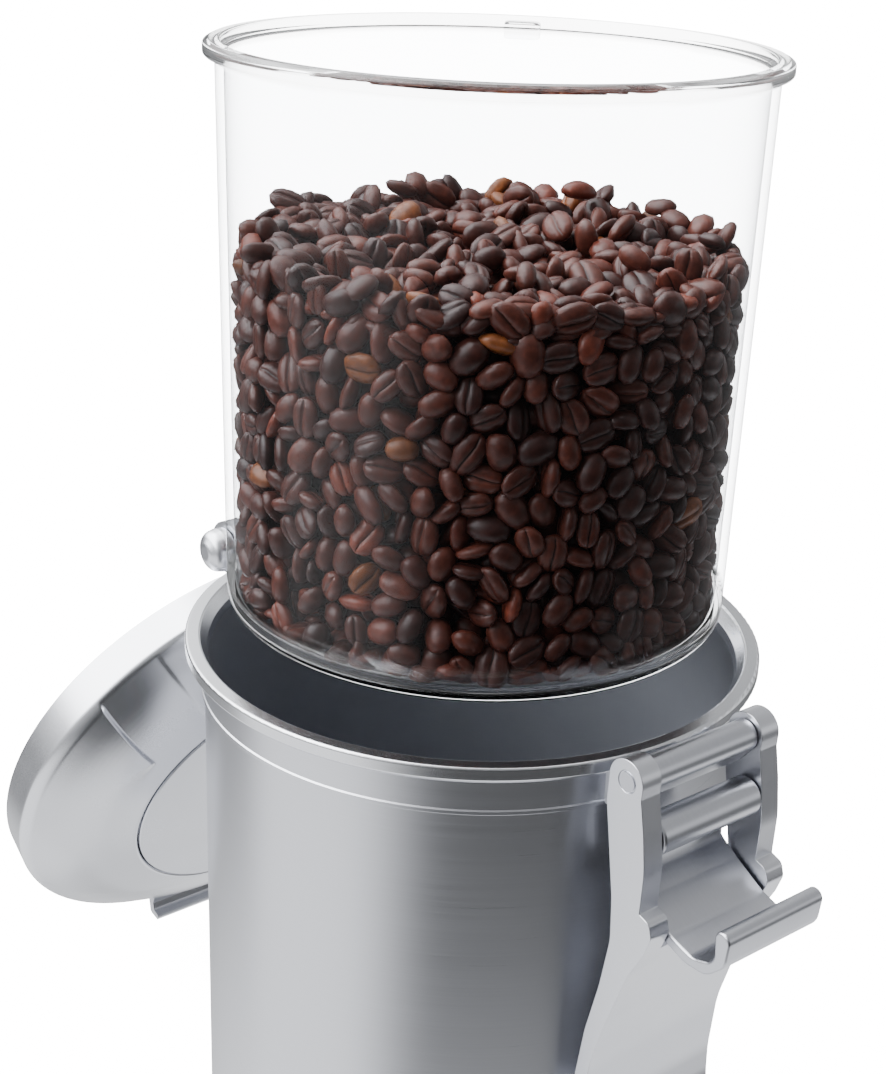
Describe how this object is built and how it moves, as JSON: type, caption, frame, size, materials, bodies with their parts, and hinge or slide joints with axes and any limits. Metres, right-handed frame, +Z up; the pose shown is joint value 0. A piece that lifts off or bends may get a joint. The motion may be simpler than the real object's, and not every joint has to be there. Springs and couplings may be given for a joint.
{
  "type": "airtight coffee canister",
  "caption": "Round metal storage canister with a rear-hinged lid, a front lever clamp with a pull hook, and a clear lift-out container of coffee beans.",
  "frame": {"origin": "centre of the foot pad, on the ground", "axes": "+Z up along the can's axis, -Y towards the clamp, +Y towards the lid hinge, +X to the right seen from the clamp"},
  "size_m": [0.1662, 0.2849, 0.3409],
  "materials": {
    "body_steel": "satin, brushed round the wall",
    "rim_steel": "satin, lightly polished",
    "cast_silver": "fine satin cast metal",
    "bar_steel": "satin",
    "lid_silver": "smooth satin",
    "lid_plastic": "matte moulded",
    "liner_dark": "matte",
    "gasket_rubber": "soft silicone",
    "foot_rubber": "matte",
    "clear_plastic": "clear, polished",
    "beans": "roasted, slightly oily"
  },
  "bodies": {
    "can": {"foot_pad": "foot_rubber", "can_base": "body_steel", "floor_riser": "liner_dark", "can_shell": "body_steel", "inner_sleeve": "liner_dark", "neck_collar": "body_steel", "rim_ring": "rim_steel", "clamp_bracket": "cast_silver", "bracket_barrel": "bar_steel", "hinge_bracket": "cast_silver"},
    "hinge_pin": {"hinge_pin": "bar_steel", "pin_caps": "cast_silver", "hinge_washers": "bar_steel"},
    "lid": {"lid_shell": "lid_silver", "lid_disc": "lid_silver", "lid_inner_plate": "lid_plastic", "lid_plug": "lid_plastic", "lid_gasket": "gasket_rubber", "lid_knuckle": "cast_silver", "lid_keeper": "cast_silver"},
    "lever": {"lever": "cast_silver", "lever_pin": "bar_steel", "hook_pin": "bar_steel"},
    "hook": {"hook_barrel": "bar_steel", "hook_plate": "bar_steel"},
    "container": {"container_cup": "clear_plastic", "bean_fill": "beans"}
  },
  "joints": [
    {"name": "hinge_pin_turn", "type": "hinge", "parent": "can", "child": "hinge_pin", "pos_m": [0, 0.0933, 0.1787], "axis": [1, 0, 0], "range_deg": [0, 155.3]},
    {"name": "lid_turn", "type": "hinge", "parent": "hinge_pin", "child": "lid", "pos_m": [0, 0.0933, 0.1787], "axis": [1, 0, 0], "range_deg": [0, 90]},
    {"name": "container_lift", "type": "slide", "parent": "can", "child": "container", "axis": [0, 0, -1], "range_m": [-0.04, 0.1709]},
    {"name": "lever_swing", "type": "hinge", "parent": "can", "child": "lever", "pos_m": [0, -0.0872, 0.1815], "axis": [1, 0, 0], "range_deg": [-115, 0]},
    {"name": "hook_swing", "type": "hinge", "parent": "lever", "child": "hook", "pos_m": [0, -0.09, 0.1655], "axis": [-1, 0, 0], "range_deg": [0, 136]}
  ]
}
